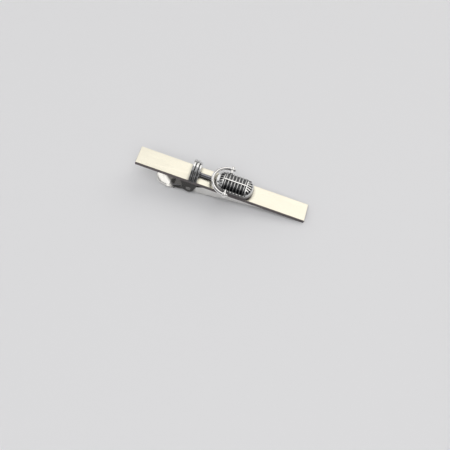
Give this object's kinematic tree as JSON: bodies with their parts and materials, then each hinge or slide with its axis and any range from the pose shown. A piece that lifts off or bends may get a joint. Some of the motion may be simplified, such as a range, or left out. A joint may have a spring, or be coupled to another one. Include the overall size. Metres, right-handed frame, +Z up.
{
  "type": "tie bar clip",
  "caption": "Flat tie bar with a sprung toothed clasp hinged underneath and a retro stage microphone ornament lying across its face.",
  "frame": {"origin": "centre of the footprint, on the table the clip lies on", "axes": "+X from the thumb tab towards the plain end of the bar, +Y away from the front edge along the hinge pin, +Z up from the table; the bar slopes down by 9.6 degrees towards +X"},
  "size_m": [0.0594, 0.013, 0.0135],
  "materials": {
    "satin_bar": "fine lengthwise satin brushing, bright plated",
    "clasp_plate": "tumbled nickel plate, darker in the folds",
    "clasp_lever": "bright nickel plate, stamped sheet",
    "pin_steel": "peened steel ends",
    "spring_steel": "drawn spring wire",
    "stand_metal": "polished, darkened in the grooves",
    "stem_metal": "polished black nickel",
    "yoke_metal": "bright polished",
    "head_metal": "polished, antiqued towards the base",
    "grille_metal": "polished ribs, black in the recesses",
    "black_enamel": "blackened recess"
  },
  "bodies": {
    "lever": {"jaw_lever": "clasp_lever"},
    "bar": {"tie_bar": "satin_bar", "clasp_base": "clasp_plate", "hinge_pin": "pin_steel", "torsion_spring": "spring_steel", "stand_foot": "stand_metal", "stand_middle_disc": "stand_metal", "stand_top_disc": "stand_metal", "stem": "stem_metal", "yoke": "yoke_metal", "pivot_boss_front": "yoke_metal", "pivot_boss_back": "yoke_metal", "pivot_screw_front": "yoke_metal", "pivot_screw_back": "yoke_metal", "head_shell": "head_metal", "head_core": "black_enamel", "front_grille": "grille_metal", "spine_bar": "yoke_metal", "crown_grille": "grille_metal", "neck_grille": "grille_metal"}
  },
  "joints": [
    {"name": "clasp_hinge", "type": "hinge", "parent": "lever", "child": "bar", "pos_m": [-0.01124, 0, 0.00284], "axis": [0, -1, 0], "range_deg": [0, 26], "stiffness_Nm_per_rad": 0.06, "springref_deg": -34.38, "deforming": ["torsion_spring"]}
  ]
}
